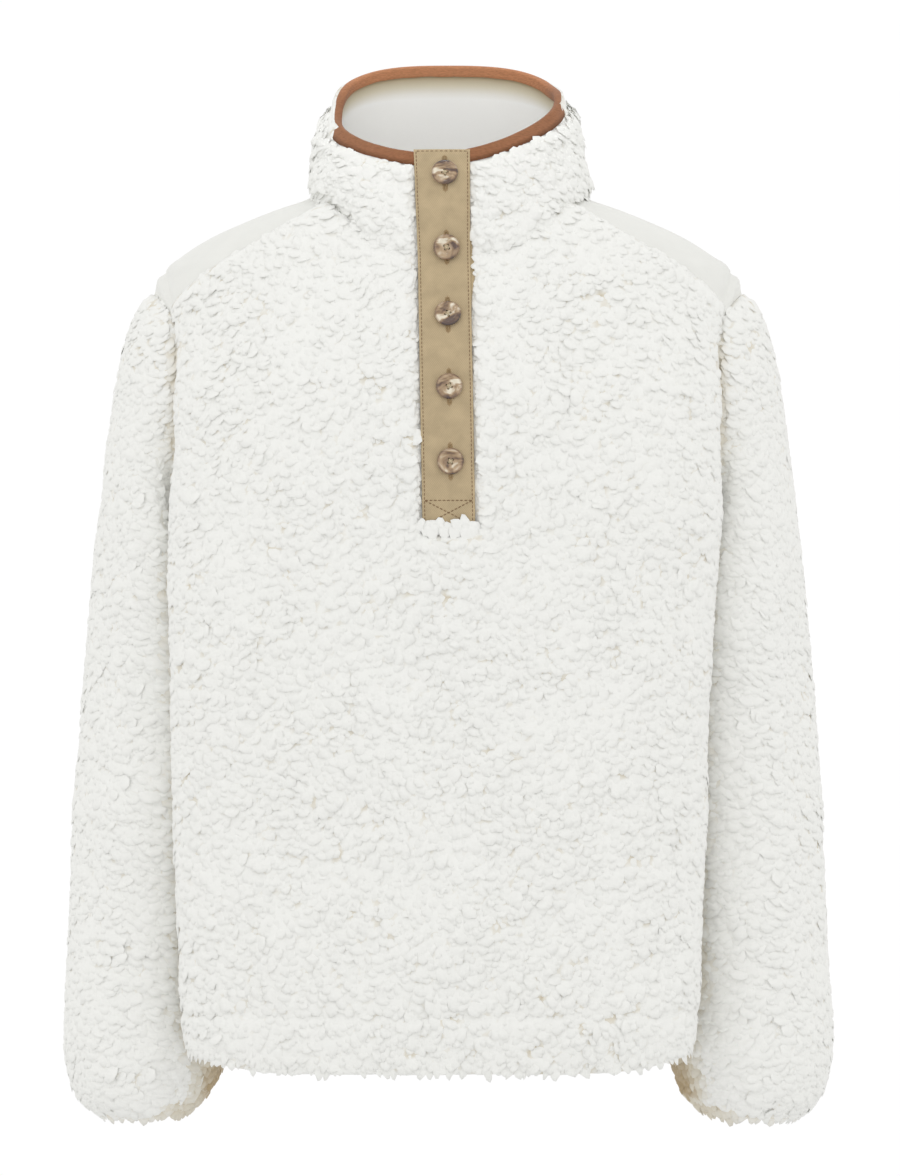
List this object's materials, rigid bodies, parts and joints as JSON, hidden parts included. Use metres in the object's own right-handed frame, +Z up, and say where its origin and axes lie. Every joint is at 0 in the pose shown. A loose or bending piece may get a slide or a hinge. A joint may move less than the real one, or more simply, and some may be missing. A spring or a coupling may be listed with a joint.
{
  "type": "sherpa fleece pullover",
  "caption": "Long-sleeved off-white sherpa fleece pullover with a stand collar, a buttoned khaki placket, brown collar binding and smooth shoulder pieces, filled out hollow as it is worn",
  "frame": {"origin": "inside the neck, midway between the front and back of the wearer's shoulders and level with their tops", "axes": "+Z up, +X to the wearer's left, the front faces -Y"},
  "size_m": [0.5674, 0.2721, 0.7832],
  "materials": {
    "sherpa_fleece": "soft curled pile, 8 mm deep",
    "white_woven_cloth": "smooth plain weave",
    "khaki_twill": "twill weave, edge-stitched",
    "brown_binding_tape": "ribbed woven tape",
    "mottled_horn": "polished, mottled like tortoiseshell"
  },
  "bodies": {
    "root": {"front_body": "sherpa_fleece", "back_body": "sherpa_fleece", "sleeve_left": "sherpa_fleece", "sleeve_right": "sherpa_fleece", "yoke_left": "white_woven_cloth", "yoke_right": "white_woven_cloth", "sleeve_head_left": "white_woven_cloth", "sleeve_head_right": "white_woven_cloth", "collar": "sherpa_fleece", "collar_facing": "white_woven_cloth", "collar_binding": "brown_binding_tape", "placket": "khaki_twill", "placket_under": "khaki_twill", "button_1": "mottled_horn", "button_2": "mottled_horn", "button_3": "mottled_horn", "button_4": "mottled_horn", "button_5": "mottled_horn"}
  },
  "joints": []
}
